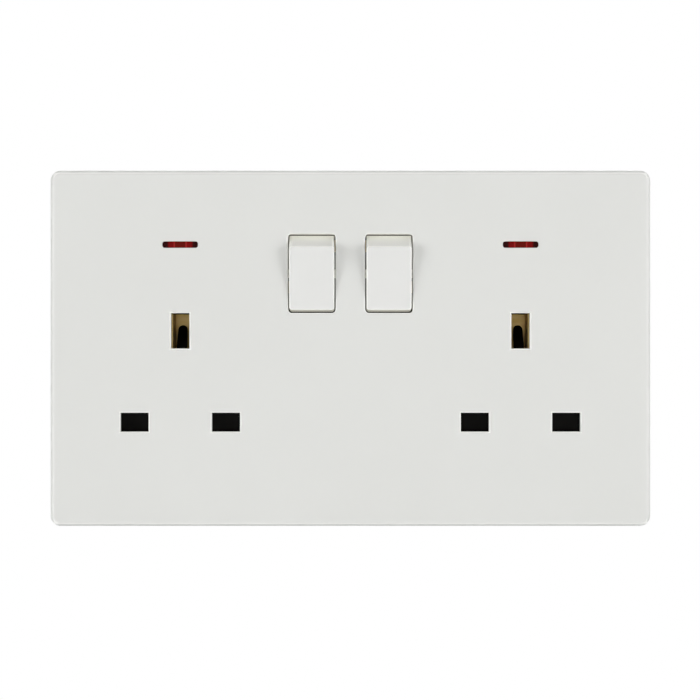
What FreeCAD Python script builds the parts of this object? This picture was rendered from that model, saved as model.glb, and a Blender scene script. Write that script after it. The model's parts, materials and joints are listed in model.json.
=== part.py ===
import FreeCAD, Part
import math
import os
import Sketcher

# UK twin switched socket with a clip-on screwless front plate.
# X points right as seen from the front, Z up, and the wall is the plane Y = 0.
# A depth is measured from the wall towards the viewer, so it is minus Y.

Vector = FreeCAD.Vector

# A corner radius this near half a width draws as a round end.
ALMOST_ROUND = 0.97

# How finely the springs are wound.
STEPS_PER_TURN = 10
WIRE_SIDES = 6
ROCKER_TURNS = 6
SHUTTER_TURNS = 7

# Driving dimensions, in millimetres and degrees.
DIMENSIONS = {
    # Front plate
    "plate_width": 146.0,
    "plate_height": 86.5,
    "plate_corner": 2.5,
    "plate_edge": 1.2,
    "plate_front": 9.0,
    "plate_wall": 2.4,
    "plate_skirt": 1.8,
    "wall_gap": 0.2,
    "hook_width": 9.0,
    "hook_reach": 0.8,
    "hook_drop": 0.9,
    "pry_width": 9.0,
    "pry_depth": 1.6,
    # Outlets
    "outlet_spacing": 82.8,
    "pin_spacing": 22.23,
    "earth_rise": 22.23,
    "pin_level": -18.0,
    "live_slot_width": 6.85,
    "live_slot_height": 4.6,
    "earth_slot_width": 4.5,
    "earth_slot_height": 8.6,
    "slot_rim": 0.3,
    "slot_margin": 0.25,
    # Rocker switches
    "rocker_spacing": 18.8,
    "rocker_level": 18.2,
    "rocker_width": 11.0,
    "rocker_gap": 0.28,
    "rocker_swing_gap": 0.2,
    "rocker_reach": 9.4,
    "rocker_face": 6.7,
    "rocker_land": 7.8,
    "rocker_back": 1.8,
    "rocker_foot": 8.95,
    "rocker_wall": 1.3,
    "rocker_corner": 0.7,
    "rocker_edge": 0.4,
    "rocker_tilt": 10.7,
    "aperture_corner": 0.9,
    "aperture_rim": 0.35,
    "pivot_depth": 3.8,
    "pivot_radius": 1.1,
    "pivot_length": 2.1,
    "pivot_play": 0.06,
    "hub_radius": 2.2,
    "hub_length": 6.2,
    "plunger_radius": 1.3,
    "plunger_play": 0.06,
    "plunger_round": 0.9,
    "plunger_length": 7.8,
    "rocker_coil": 0.95,
    "rocker_wire": 0.4,
    # Rocking contacts
    "seesaw_tilt": 10.0,
    "seesaw_gap": 0.25,
    "seesaw_width": 5.2,
    "seesaw_reach": 9.2,
    "seesaw_tail": 8.6,
    "seesaw_sheet": 0.8,
    "seesaw_corner": 0.8,
    "trunnion_radius": 0.5,
    "trunnion_play": 0.06,
    "trunnion_length": 1.6,
    "tip_reach": 7.6,
    "tip_radius": 1.5,
    "tip_height": 1.0,
    "tip_shank": 0.8,
    "tip_gap": 0.25,
    "ear_sheet": 0.8,
    "ear_gap": 0.6,
    "ear_width": 4.0,
    "bracket_margin": 0.6,
    # Indicator lamps
    "neon_level": 25.2,
    "lens_width": 8.7,
    "lens_height": 1.6,
    "lens_corner": 0.6,
    "lens_play": 0.05,
    "lens_margin": 0.8,
    "lens_flange": 1.0,
    "lamp_radius": 1.9,
    "lamp_length": 9.0,
    "lamp_round": 0.8,
    "lamp_gap": 0.3,
    "lead_radius": 0.25,
    "lead_pitch": 1.2,
    "resistor_radius": 0.95,
    "resistor_length": 5.0,
    "resistor_round": 0.3,
    "neon_room_width": 11.4,
    "neon_room_height": 5.2,
    "neon_room_depth": 4.0,
    # Base plate
    "base_margin": 0.3,
    "base_back": 1.4,
    "base_front": 2.8,
    "base_inset": 3.2,
    "base_corner": 1.4,
    "island_side": 17.2,
    "island_waist": 14.0,
    "island_notch": 11.0,
    "island_top": 31.0,
    "island_foot": 28.6,
    "island_corner": 3.0,
    "guide_depth": 3.0,
    "fixing_spacing": 120.6,
    "fixing_width": 3.9,
    "fixing_length": 5.6,
    # Shutters
    "shutter_back": 0.3,
    "shutter_gap": 0.3,
    "shutter_travel": 5.7,
    "flag_width": 8.4,
    "flag_height": 6.2,
    "shield_width": 14.4,
    "shield_top": 2.9,
    "stem_width": 2.55,
    "stem_tip_width": 2.2,
    "ramp_drop": 2.85,
    "ramp_height": 6.0,
    "ramp_run": 6.0,
    "ramp_thickness": 2.4,
    "spring_offset": 5.0,
    "spring_slot": 2.8,
    "spring_length": 8.2,
    "spring_coil": 0.85,
    "spring_wire": 0.35,
    "spring_seat": 0.1,
    "spring_wall": 1.2,
    "peg_height": 1.5,
    # Contacts and bars
    "sheet": 0.6,
    "bar_sheet": 0.8,
    "bar_width": 3.0,
    "strap_jog": 4.5,
    "strap_step": 7.0,
    "strap_drop": 3.0,
    "line_layer": 11.0,
    "neutral_layer": 13.8,
    "earth_layer": 17.0,
    "live_contact_width": 5.4,
    "live_mouth": 0.3,
    "live_mouth_gap": 5.2,
    "live_pinch_gap": 3.7,
    "live_web_gap": 4.8,
    "live_pinch_depth": 4.5,
    "earth_contact_height": 8.5,
    "earth_mouth": 2.0,
    "earth_mouth_gap": 4.2,
    "earth_pinch_gap": 3.7,
    "earth_web_gap": 5.0,
    "earth_pinch_depth": 7.0,
    "rivet_radius": 0.8,
    "rivet_head": 1.3,
    "rivet_rise": 0.45,
    # Terminals
    "terminal_pitch": 16.0,
    "terminal_top": 20.5,
    "terminal_height": 8.4,
    "terminal_width": 8.6,
    "terminal_back": 15.0,
    "terminal_depth": 8.0,
    "terminal_corner": 0.6,
    "wire_radius": 2.25,
    "wire_entry": 0.5,
    "wire_depth": 11.0,
    "clamp_radius": 1.9,
    "clamp_play": 0.05,
    "clamp_head": 2.9,
    "clamp_head_gap": 0.2,
    "clamp_head_height": 2.0,
    "clamp_travel": 3.6,
    "clamp_tip": 13.4,
    "clamp_slot": 0.8,
    # Rear housing
    "housing_width": 118.0,
    "housing_height": 61.0,
    "housing_depth": 21.0,
    "housing_corner": 2.0,
    "lug_depth": 6.0,
    "lug_height": 16.0,
    "room_gap": 0.35,
    "post_width": 1.3,
    "post_height": 2.0,
    "post_gap": 0.08,
    "upper_screw_column": 54.5,
    "upper_screw_row": 26.0,
    "lower_screw_column": 23.6,
    "lower_screw_row": 26.0,
    "screw_radius": 1.5,
    "screw_clearance": 0.15,
    "thread_play": 0.02,
    "screw_head": 2.5,
    "screw_head_gap": 0.25,
    "screw_head_height": 1.9,
    "screw_seat": 12.0,
    "screw_bite": 5.2,
    "screw_cross": 3.2,
    "core_depth": 7.5,
    "core_wall": 1.8,
    "core_width": 14.0,
    "core_corner": 1.0,
}


class Size:
    """A length or an angle that knows its value and its formula in the sheet."""

    def __init__(self, value, formula):
        self.value = value
        self.formula = formula

    def __add__(self, other):
        other = size(other)
        return Size(self.value + other.value, f"({self.formula} + {other.formula})")

    def __sub__(self, other):
        other = size(other)
        return Size(self.value - other.value, f"({self.formula} - {other.formula})")

    def __mul__(self, other):
        other = size(other)
        return Size(self.value * other.value, f"({self.formula} * {other.formula})")

    def __truediv__(self, other):
        other = size(other)
        return Size(self.value / other.value, f"({self.formula} / {other.formula})")

    def __radd__(self, other):
        return size(other) + self

    def __rsub__(self, other):
        return size(other) - self

    def __rmul__(self, other):
        return size(other) * self

    def __neg__(self):
        return Size(-self.value, f"(-1 * {self.formula})")


def size(number):
    """Return number as a Size; a plain number is its own formula."""
    if isinstance(number, Size):
        return number
    return Size(float(number), f"({float(number)!r})")


def cosine(angle):
    return Size(math.cos(math.radians(angle.value)), f"cos({angle.formula})")


def sine(angle):
    return Size(math.sin(math.radians(angle.value)), f"sin({angle.formula})")


class Sheet:
    """The spreadsheet of driving dimensions, read as attributes."""

    def __init__(self, document, table):
        self.cells = document.addObject("Spreadsheet::Sheet", "dim")
        for row, (word, number) in enumerate(table.items(), start=1):
            self.cells.set(f"A{row}", word)
            self.cells.set(f"B{row}", str(number))
            self.cells.setAlias(f"B{row}", word)
            setattr(self, word, Size(number, f"dim.{word}"))


document = FreeCAD.newDocument("twin_socket")
dim = Sheet(document, DIMENSIONS)
document.recompute()

# Each view is a sketch plane: its name, and the signs of the two sketch axes.
# front: (x, z) drawn at a depth.  side: (depth, z) at an x.  top: (x, depth) at a z.
VIEWS = {
    "front": ("XZ_Plane", 1, 1),
    "side": ("YZ_Plane", -1, 1),
    "top": ("XY_Plane", 1, -1),
}


def box(left, right, low, high, corner=0):
    """A rectangle by its four sides, with rounded corners where corner is given."""
    corners = [(left, low), (right, low), (right, high), (left, high)]
    return ("outline", [(size(a), size(b), size(corner)) for a, b in corners])


def centred(across, up, width, height, corner=0):
    """A rectangle by its middle and its full width and height."""
    across, up, width, height = size(across), size(up), size(width), size(height)
    return box(across - width / 2, across + width / 2, up - height / 2, up + height / 2, corner)


def outline(points):
    """A closed outline by its corners, each (across, up) or (across, up, corner radius)."""
    corners = []
    for point in points:
        across, up, radius = tuple(point) + ((0,) if len(point) == 2 else ())
        corners.append((size(across), size(up), size(radius)))
    return ("outline", corners)


def disc(across, up, radius):
    return ("disc", (size(across), size(up), size(radius)))


def slot(across, up, length, width):
    """A slot with round ends that runs along the first sketch axis."""
    return ("slot", (size(across), size(up), size(length), size(width)))


def hold(sketch, kind, *items, length=None):
    """Add one constraint, bound to its formula where it is a length."""
    if length is None:
        sketch.addConstraint(Sketcher.Constraint(kind, *items))
        return
    index = sketch.addConstraint(Sketcher.Constraint(kind, *items, length.value))
    sketch.setExpression(f"Constraints[{index}]", length.formula)


def hold_point(sketch, geometry, end, across, up):
    hold(sketch, "DistanceX", -1, 1, geometry, end, length=across)
    hold(sketch, "DistanceY", -1, 1, geometry, end, length=up)


def draw_disc(sketch, across, up, radius):
    centre = Vector(across.value, up.value, 0)
    circle = sketch.addGeometry(Part.Circle(centre, Vector(0, 0, 1), radius.value), False)
    hold_point(sketch, circle, 3, across, up)
    hold(sketch, "Radius", circle, length=radius)


def draw_slot(sketch, across, up, length, width):
    """Two half circles joined by two tangent lines."""
    radius = width / 2
    ends = [across - (length - width) / 2, across + (length - width) / 2]
    arcs = []
    for centre, start in zip(ends, (math.pi / 2, -math.pi / 2)):
        circle = Part.Circle(Vector(centre.value, up.value, 0), Vector(0, 0, 1), radius.value)
        arcs.append(sketch.addGeometry(Part.ArcOfCircle(circle, start, start + math.pi), False))
    lines = []
    for sign in (-1, 1):
        level = up.value + sign * radius.value
        left = Vector(ends[0].value, level, 0)
        right = Vector(ends[1].value, level, 0)
        start, stop = (left, right) if sign < 0 else (right, left)
        lines.append(sketch.addGeometry(Part.LineSegment(start, stop), False))
    hold(sketch, "Tangent", arcs[0], 2, lines[0], 1)
    hold(sketch, "Tangent", lines[0], 2, arcs[1], 1)
    hold(sketch, "Tangent", arcs[1], 2, lines[1], 1)
    hold(sketch, "Tangent", lines[1], 2, arcs[0], 1)
    hold_point(sketch, arcs[0], 3, ends[0], up)
    hold_point(sketch, arcs[1], 3, ends[1], up)
    hold(sketch, "Radius", arcs[0], length=radius)


def draw_outline(sketch, corners):
    """Straight sides between corners, with a tangent arc at each rounded corner."""
    count = len(corners)
    places = [Vector(across.value, up.value, 0) for across, up, radius in corners]
    arcs = {}
    ends = []
    for index, (across, up, radius) in enumerate(corners):
        here = places[index]
        if radius.value == 0:
            ends.append((here, here))
            continue
        back = (places[index - 1] - here).normalize()
        ahead = (places[(index + 1) % count] - here).normalize()
        half = math.acos(max(-1, min(1, back.dot(ahead)))) / 2
        reach = radius.value / math.tan(half)
        first = here + back * reach
        last = here + ahead * reach
        centre = here + (back + ahead).normalize() * (radius.value / math.sin(half))
        middle = centre + (here - centre).normalize() * radius.value
        arcs[index] = sketch.addGeometry(Part.Arc(first, middle, last), False)
        ends.append((first, last))
    lines = []
    for index in range(count):
        start = ends[index][1]
        stop = ends[(index + 1) % count][0]
        lines.append(sketch.addGeometry(Part.LineSegment(start, stop), False))
    for index, (across, up, radius) in enumerate(corners):
        before, after = lines[index - 1], lines[index]
        if index not in arcs:
            hold(sketch, "Coincident", before, 2, after, 1)
            hold_point(sketch, after, 1, across, up)
            continue
        arc = arcs[index]
        first_end = 1 if ends[index][0].isEqual(sketch.getPoint(arc, 1), 1e-6) else 2
        hold(sketch, "Tangent", before, 2, arc, first_end)
        hold(sketch, "Tangent", arc, 3 - first_end, after, 1)
        hold(sketch, "Radius", arc, length=radius)
        mark = sketch.addGeometry(Part.Point(places[index]), True)
        hold_point(sketch, mark, 1, across, up)
        hold(sketch, "PointOnObject", mark, 1, before)
        hold(sketch, "PointOnObject", mark, 1, after)


def draw(piece, view, level, shapes):
    """Draw shapes in a new sketch of the piece, on the view's plane moved out to level."""
    role, across_sign, up_sign = VIEWS[view]
    plane = next(item for item in piece.Origin.OriginFeatures if item.Role == role)
    sketch = piece.newObject("Sketcher::SketchObject", f"{piece.Name}_sketch")
    sketch.AttachmentSupport = [(plane, "")]
    sketch.MapMode = "FlatFace"
    sketch.setExpression("AttachmentOffset.Base.z", size(level).formula)
    for kind, data in shapes:
        if kind == "outline":
            corners = [(a * across_sign, b * up_sign, r) for a, b, r in data]
            draw_outline(sketch, corners)
        else:
            across, up = data[0] * across_sign, data[1] * up_sign
            drawers = {"disc": draw_disc, "slot": draw_slot}
            drawers[kind](sketch, across, up, *data[2:])
    return sketch


def body(label):
    piece = document.addObject("PartDesign::Body", label)
    piece.Label = label
    return piece


def settle(piece, *features):
    """Work out new features and their piece, and leave the rest of the document alone."""
    for item in features + (piece,):
        document.recompute([item])


def pad(piece, view, start, stop, *shapes):
    """Add material between two levels of the view."""
    feature = piece.newObject("PartDesign::Pad", f"{piece.Name}_pad")
    feature.Profile = draw(piece, view, start, shapes)
    feature.setExpression("Length", (size(stop) - start).formula)
    settle(piece, feature.Profile[0], feature)
    return feature


def cut(piece, view, start, stop, *shapes):
    """Remove material between two levels of the view, and check that some went."""
    before = piece.Shape.Volume
    sketch = draw(piece, view, stop, shapes)
    feature = piece.newObject("PartDesign::Pocket", f"{piece.Name}_cut")
    feature.Profile = sketch
    feature.setExpression("Length", (size(stop) - start).formula)
    settle(piece, sketch, feature)
    if not piece.Shape.Volume < before:
        raise ValueError(f"{piece.Label}: a cut removed nothing")
    return feature


def turn(piece, view, level, shape):
    """Revolve a half profile about the first axis of the view."""
    feature = piece.newObject("PartDesign::Revolution", f"{piece.Name}_turn")
    sketch = draw(piece, view, level, [shape])
    feature.Profile = sketch
    feature.ReferenceAxis = (sketch, ["H_Axis"])
    feature.Angle = 360
    settle(piece, sketch, feature)
    return feature


def soften(piece, kind, amount, wanted):
    """Fillet or chamfer the edges of the piece that wanted() accepts."""
    tip = piece.Tip
    names = [f"Edge{n}" for n, edge in enumerate(tip.Shape.Edges, start=1) if wanted(edge)]
    feature = piece.newObject(f"PartDesign::{kind}", f"{piece.Name}_{kind.lower()}")
    feature.Base = (tip, names)
    feature.setExpression("Radius" if kind == "Fillet" else "Size", amount.formula)
    settle(piece, feature)
    return feature


def place(piece, across=0, depth=0, up=0, tilt=None):
    """Put the piece where it belongs; a tilt turns it about X, top towards the viewer."""
    turned = FreeCAD.Rotation(Vector(1, 0, 0), 1)
    piece.Placement = FreeCAD.Placement(Vector(0, 0, 0), turned if tilt else FreeCAD.Rotation())
    piece.setExpression("Placement.Base.x", size(across).formula)
    piece.setExpression("Placement.Base.y", (-size(depth)).formula)
    piece.setExpression("Placement.Base.z", size(up).formula)
    if tilt:
        piece.setExpression("Placement.Rotation.Angle", tilt.formula)


def on_level(edge, depth, tolerance=1e-4):
    """True for an edge that lies wholly at a depth."""
    return abs(edge.BoundBox.YMin + depth) < tolerance and abs(edge.BoundBox.YMax + depth) < tolerance


def within(edge, across, up, width, height):
    """True for an edge whose middle is inside a rectangle of the front view."""
    middle = edge.BoundBox.Center
    return abs(middle.x - across) <= width / 2 and abs(middle.z - up) <= height / 2


# Places that several pieces share
SIDES = {"left": -1, "right": 1}
outlet_x = {name: sign * dim.outlet_spacing / 2 for name, sign in SIDES.items()}
rocker_x = {name: sign * dim.rocker_spacing / 2 for name, sign in SIDES.items()}
earth_level = dim.pin_level + dim.earth_rise
pin_offset = dim.pin_spacing / 2
wall_back = dim.plate_front - dim.plate_wall
well_width = dim.rocker_width + 2 * dim.rocker_gap
well_height = 2 * (dim.rocker_reach + dim.rocker_swing_gap)
shutter_front = dim.guide_depth - dim.shutter_gap
line_top = dim.bar_sheet - dim.line_layer
neutral_top = dim.bar_sheet - dim.neutral_layer
earth_top = dim.bar_sheet - dim.earth_layer
tip_depth = dim.seesaw_sheet / 2 + dim.tip_height
seesaw_depth = (
    line_top + dim.tip_height + dim.tip_gap
    + dim.tip_reach * sine(dim.seesaw_tilt) + tip_depth * cosine(dim.seesaw_tilt)
)
tip_level = (
    dim.rocker_level
    + dim.tip_reach * cosine(dim.seesaw_tilt) - tip_depth * sine(dim.seesaw_tilt)
)
plunger_tip = dim.pivot_depth - seesaw_depth - dim.seesaw_sheet / 2 - dim.seesaw_gap
terminal_x = {
    "neutral": -dim.terminal_pitch,
    "line": size(0),
    "earth": dim.terminal_pitch,
}
terminal_low = -dim.terminal_top - dim.terminal_height
ramp_peak = earth_level + dim.earth_slot_height / 2 - dim.ramp_drop
spring_top = -dim.shield_top - dim.spring_wall
peg_top = spring_top - dim.spring_length - 2 * dim.spring_seat
terminal_level = terminal_low + dim.terminal_height / 2
strap_level = dim.rocker_level - dim.strap_drop
screw_places = [
    (sign * column, row)
    for column, row in ((dim.upper_screw_column, dim.upper_screw_row),
                        (dim.lower_screw_column, -dim.lower_screw_row))
    for sign in (-1, 1)
]


def pin_slots(x, margin=0):
    """The three pin slots of one outlet in the front view."""
    width = dim.live_slot_width + 2 * size(margin)
    height = dim.live_slot_height + 2 * size(margin)
    live = [centred(x + sign * pin_offset, dim.pin_level, width, height) for sign in (-1, 1)]
    width = dim.earth_slot_width + 2 * size(margin)
    height = dim.earth_slot_height + 2 * size(margin)
    return live + [centred(x, earth_level, width, height)]


def make_front_plate():
    """The clip-on cover: a shallow tray with slots, rocker apertures and lamp windows."""
    plate = body("front_plate")
    width, height = dim.plate_width, dim.plate_height
    pad(plate, "front", dim.wall_gap, dim.plate_front,
        centred(0, 0, width, height, dim.plate_corner))
    soften(plate, "Fillet", dim.plate_edge, lambda edge: on_level(edge, dim.plate_front.value))
    inside = dim.plate_corner - dim.plate_skirt / 2
    cut(plate, "front", dim.wall_gap, wall_back,
        centred(0, 0, width - 2 * dim.plate_skirt, height - 2 * dim.plate_skirt, inside))

    for name in SIDES:
        x, switch_x = outlet_x[name], rocker_x[name]
        cut(plate, "front", wall_back, dim.plate_front, *pin_slots(x),
            centred(x, dim.neon_level, dim.lens_width, dim.lens_height, dim.lens_corner),
            centred(switch_x, dim.rocker_level, well_width, well_height, dim.aperture_corner))

    def on_slot(edge):
        return on_level(edge, dim.plate_front.value) and any(
            within(edge, x.value, (dim.pin_level + dim.earth_rise / 2).value,
                   (dim.pin_spacing + dim.live_slot_width + dim.slot_rim).value,
                   (dim.earth_rise + dim.earth_slot_height + dim.slot_rim).value)
            for x in outlet_x.values())

    def on_aperture(edge):
        return on_level(edge, dim.plate_front.value) and any(
            within(edge, x.value, dim.rocker_level.value,
                   (well_width + dim.aperture_rim).value, (well_height + dim.aperture_rim).value)
            for x in rocker_x.values())

    soften(plate, "Chamfer", dim.slot_rim, on_slot)
    soften(plate, "Fillet", dim.aperture_rim, on_aperture)

    # Hooks on the inside of the skirt catch behind the rim of the base plate.
    catch = dim.base_back - dim.wall_gap / 2
    for sign in (-1, 1):
        long_wall = sign * (height / 2 - dim.plate_skirt)
        hooks = [
            centred(x, long_wall - sign * dim.hook_reach / 2, dim.hook_width, dim.hook_reach)
            for x in (-dim.outlet_spacing / 2, size(0), dim.outlet_spacing / 2)
        ]
        pad(plate, "front", catch - dim.hook_drop, catch, *hooks)
        short_wall = sign * (width / 2 - dim.plate_skirt)
        pad(plate, "front", catch - dim.hook_drop, catch, centred(
            short_wall - sign * dim.hook_reach / 2, 0, dim.hook_reach, dim.hook_width))

    # A pry notch under the lower edge takes a screwdriver.
    cut(plate, "front", dim.wall_gap, dim.pry_depth,
        centred(0, -height / 2, dim.pry_width, dim.plate_skirt))
    return plate


def make_base_plate():
    """The inner moulding: wall fixings, pin guides, shutter rooms and rocker bearings."""
    base = body("base_plate")
    clear = dim.plate_skirt + dim.base_margin
    width = dim.plate_width - 2 * clear
    height = dim.plate_height - 2 * clear
    pad(base, "front", dim.base_back, dim.base_front, centred(0, 0, width, height, dim.base_corner))
    pad(base, "front", 0, dim.base_back,
        centred(0, 0, width - 2 * dim.base_inset, height - 2 * dim.base_inset,
                dim.base_corner))
    side, waist = dim.outlet_spacing / 2 + dim.island_side, dim.outlet_spacing / 2 + dim.island_waist
    foot, top, notch = -dim.island_foot, dim.island_top, dim.island_notch / 2
    corner = dim.island_corner
    pad(base, "front", dim.base_front, wall_back, outline([
        (-side, foot, corner), (side, foot, corner), (side, -notch), (waist, -notch),
        (waist, notch), (side, notch), (side, top, corner), (-side, top, corner),
        (-side, notch), (-waist, notch), (-waist, -notch), (-side, -notch)]))

    flag_side = pin_offset + dim.flag_width / 2 + dim.room_gap
    flag_low = dim.pin_level - dim.flag_height / 2 - dim.shutter_travel - dim.room_gap
    flag_high = dim.pin_level + dim.flag_height / 2 + dim.room_gap
    shield_side = dim.shield_width / 2 + dim.room_gap
    shield_high = dim.room_gap - dim.shield_top
    stem_side = dim.earth_mouth_gap / 2 + dim.sheet + dim.room_gap
    stem_high = earth_level + dim.earth_slot_height / 2 + dim.room_gap
    for name in SIDES:
        x, switch_x = outlet_x[name], rocker_x[name]
        cut(base, "front", dim.guide_depth, wall_back, *pin_slots(x, dim.slot_margin))
        room = outline([
            (x - flag_side, flag_low), (x + flag_side, flag_low), (x + flag_side, flag_high),
            (x + shield_side, flag_high), (x + shield_side, shield_high),
            (x + stem_side, shield_high), (x + stem_side, stem_high),
            (x - stem_side, stem_high), (x - stem_side, shield_high),
            (x - shield_side, shield_high), (x - shield_side, flag_high), (x - flag_side, flag_high),
        ])
        peg = centred(x + dim.spring_offset, peg_top - dim.peg_height / 2,
                      dim.spring_slot - 2 * dim.room_gap, dim.peg_height)
        cut(base, "front", 0, dim.guide_depth, room, peg)
        cut(base, "front", 0, wall_back,
            centred(switch_x, dim.rocker_level, well_width, well_height),
            centred(x, dim.neon_level, dim.neon_room_width, dim.neon_room_height))

        # The rocker's pivots press in from behind, into bearing slots with a round end.
        bearing = dim.pivot_radius + dim.pivot_play
        reach = dim.rocker_width / 2 + dim.pivot_length + dim.pivot_play
        level = dim.rocker_level
        cut(base, "side", switch_x - reach, switch_x + reach, outline([
            (0, level - bearing), (dim.pivot_depth + bearing, level - bearing, bearing * ALMOST_ROUND),
            (dim.pivot_depth + bearing, level + bearing, bearing * ALMOST_ROUND), (0, level + bearing)]))

    fixings = [slot(sign * dim.fixing_spacing / 2, 0, dim.fixing_length, dim.fixing_width)
               for sign in (-1, 1)]
    cut(base, "front", 0, dim.base_front, *fixings)
    cut(base, "front", 0, dim.screw_bite + dim.post_gap,
        *screw_discs(dim.screw_radius + dim.thread_play))
    return base


def screw_discs(radius):
    """One disc for each of the four screws that join the housing to the base plate."""
    return [disc(x, z, radius) for x, z in screw_places]


def make_rear_housing():
    """The rear moulding, with a room for each contact, bar, switch and terminal."""
    housing = body("rear_housing")
    side, top = dim.housing_width / 2, dim.housing_height / 2
    waist, lug = side - dim.lug_depth, dim.lug_height / 2
    corner = dim.housing_corner
    pad(housing, "front", -dim.housing_depth, 0, outline([
        (-side, -top, corner), (side, -top, corner), (side, -lug), (waist, -lug),
        (waist, lug), (side, lug), (side, top, corner), (-side, top, corner),
        (-side, lug), (-waist, lug), (-waist, -lug), (-side, -lug)]))

    gap = dim.room_gap
    live_width = dim.live_contact_width + 2 * gap
    live_height = dim.live_mouth_gap + 2 * dim.sheet + 2 * gap
    bar = dim.bar_width + 2 * gap
    for name in SIDES:
        x, switch_x = outlet_x[name], rocker_x[name]
        cut(housing, "front", -dim.line_layer, 0,
            centred(x + pin_offset, dim.pin_level, live_width, live_height))
        cut(housing, "front", -dim.neutral_layer, 0,
            centred(x - pin_offset, dim.pin_level, live_width, live_height))
        cut(housing, "front", -dim.earth_layer, 0,
            centred(x, earth_level, dim.earth_web_gap + 2 * dim.sheet + 2 * gap,
                    dim.earth_contact_height + 2 * gap))
        stem = dim.stem_width + 2 * gap
        low = ramp_peak - dim.ramp_height - dim.shutter_travel - dim.ramp_thickness
        cut(housing, "front", -dim.ramp_run - gap, 0,
            box(x - stem / 2, x + stem / 2, low, earth_level))
        cut(housing, "front", -dim.line_layer, 0,
            centred(switch_x, dim.rocker_level, well_width - 2 * gap, well_height))
        cut(housing, "front", -dim.neon_room_depth, 0,
            centred(x, dim.neon_level, dim.neon_room_width, dim.neon_room_height))
        cut(housing, "front", -dim.line_layer, 0, outline(strap_path(name, gap)))

    reach = outlet_x["right"] + dim.earth_web_gap / 2 + dim.sheet + gap
    cut(housing, "front", -dim.earth_layer, 0,
        box(-reach, reach, earth_level - bar / 2, earth_level + bar / 2))
    cut(housing, "front", -dim.earth_layer, 0,
        box(terminal_x["earth"] - bar / 2, terminal_x["earth"] + bar / 2,
            -dim.terminal_top, earth_level))
    cut(housing, "front", -dim.neutral_layer, 0, outline(neutral_path(gap)))
    cut(housing, "front", -dim.line_layer, 0, outline(line_path(gap)))

    # Each terminal has a room, a clamp screw hole behind and a wire entry below.
    room = dim.terminal_width + 2 * gap
    clamp_room = dim.clamp_head + dim.clamp_head_gap
    for x in terminal_x.values():
        cut(housing, "front", -dim.terminal_back, 0,
            box(x - room / 2, x + room / 2, terminal_low - gap, gap - dim.terminal_top))
        cut(housing, "front", -dim.housing_depth, -dim.terminal_back,
            disc(x, terminal_level, clamp_room))
        cut(housing, "top", -top, terminal_low, disc(x, -dim.wire_depth, dim.wire_radius + dim.wire_entry))

    # Screw columns: a clearance hole, and a well for each head.
    cut(housing, "front", -dim.screw_seat, 0, *screw_discs(dim.screw_radius + dim.screw_clearance))
    cut(housing, "front", -dim.housing_depth, -dim.screw_seat,
        *screw_discs(dim.screw_head + dim.screw_head_gap))

    # Recesses in the back keep the walls even.
    wall = gap + dim.core_wall
    above_pins = dim.pin_level + dim.live_mouth_gap / 2 + dim.sheet + wall
    below_earth = earth_level - dim.earth_contact_height / 2 - wall
    above_earth = earth_level + dim.earth_contact_height / 2 + wall
    below_neon = dim.neon_level - dim.neon_room_height / 2
    half = dim.core_width / 2
    corner = dim.core_corner
    cores = []
    for x in outlet_x.values():
        cores.append(box(x - half, x + half, above_pins, below_earth, corner))
        cores.append(box(x - half, x + half, above_earth, below_neon, corner))
    for x in rocker_x.values():
        cores.append(box(x - half / 2, x + half / 2, above_pins, below_earth, corner))
        cores.append(centred(x, dim.rocker_level, well_width, well_height - dim.core_wall, corner))
    back = -dim.housing_depth
    cut(housing, "front", back, back + dim.core_depth, *cores)

    # Posts close the bearing slots behind the rocker pivots.
    reach = dim.rocker_width / 2 + dim.pivot_length - dim.post_width / 2 - dim.post_gap
    posts = [centred(x + sign * reach, dim.rocker_level, dim.post_width, dim.post_height)
             for x in rocker_x.values() for sign in (-1, 1)]
    pad(housing, "front", 0, dim.pivot_depth - dim.pivot_radius - dim.post_gap, *posts)
    return housing


def strap_path(name, gap=0):
    """The outline of a line strap, from its contact up and across to its switch."""
    half = dim.bar_width / 2 + gap
    start = outlet_x[name] + pin_offset
    inner = rocker_x[name]
    rise = start - dim.strap_jog if name == "right" else start
    left, right = rise - half, rise + half
    low = dim.pin_level - half
    high = strap_level + half
    shelf = strap_level - half
    if name == "left":
        return [(left, low), (right, low), (right, shelf), (inner + half, shelf),
                (inner + half, high), (left, high)]
    jog = dim.pin_level + dim.strap_step
    return [(start - half, low), (start + half, low), (start + half, jog + half),
            (right, jog + half), (right, high), (inner - half, high),
            (inner - half, shelf), (left, shelf), (left, jog - half), (start - half, jog - half)]


def neutral_path(gap=0):
    """The outline of the neutral bar, with a tab down to its terminal."""
    half = dim.bar_width / 2 + gap
    left = outlet_x["left"] - pin_offset - half
    right = outlet_x["right"] - pin_offset + half
    low, high = dim.pin_level - dim.bar_width / 2 - gap, dim.pin_level + half
    tab = terminal_x["neutral"]
    return [(left, low), (tab - half, low), (tab - half, -dim.terminal_top),
            (tab + half, -dim.terminal_top), (tab + half, low), (right, low),
            (right, high), (left, high)]


def line_path(gap=0):
    """The outline of the line bar: a leg from its terminal up to the fixed contacts."""
    half = dim.bar_width / 2 + gap
    arm = rocker_x["right"] + dim.tip_radius + gap
    low, high = tip_level - half, tip_level + half
    return [(-half, -dim.terminal_top), (half, -dim.terminal_top), (half, low), (arm, low),
            (arm, high), (-arm, high), (-arm, low), (-half, low)]


def make_bar(label, layer, path, holes):
    """A flat conductor whose back lies on the floor of its channel."""
    bar = body(label)
    pad(bar, "front", -layer, dim.bar_sheet - layer, outline(path))
    if holes:
        cut(bar, "front", -layer, dim.bar_sheet - layer,
            *[disc(x, z, dim.rivet_radius) for x, z in holes])
    return bar


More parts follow.
